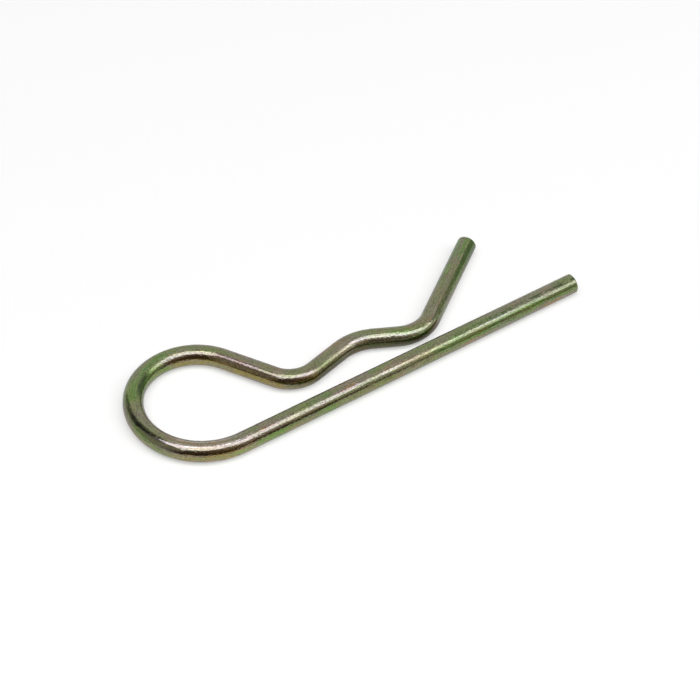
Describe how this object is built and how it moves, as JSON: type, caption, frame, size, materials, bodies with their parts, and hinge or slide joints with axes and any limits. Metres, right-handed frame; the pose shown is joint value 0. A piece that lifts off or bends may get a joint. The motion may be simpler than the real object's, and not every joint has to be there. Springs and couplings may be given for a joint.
{
  "type": "hitch r clip pin",
  "caption": "Spring clip of round wire: a straight leg for a pin's cross hole, a humped leg that snaps round the pin, and an open bow to pull it by.",
  "frame": {"origin": "where the axis of the hitch pin crosses the axis of the straight leg, under the crest of the hump", "axes": "+X along the straight leg to its free end, +Y from the straight leg to the humped leg, +Z square to the plane of the bent wire; the clip lies flat on its -Z side"},
  "size_m": [0.0929, 0.0301, 0.004],
  "materials": {
    "plated_wire": "semi-gloss zinc plate with an olive, green and pink iridescent passivation, fine draw lines and small dark pits"
  },
  "bodies": {
    "root": {"clip_wire": "plated_wire"}
  },
  "joints": []
}
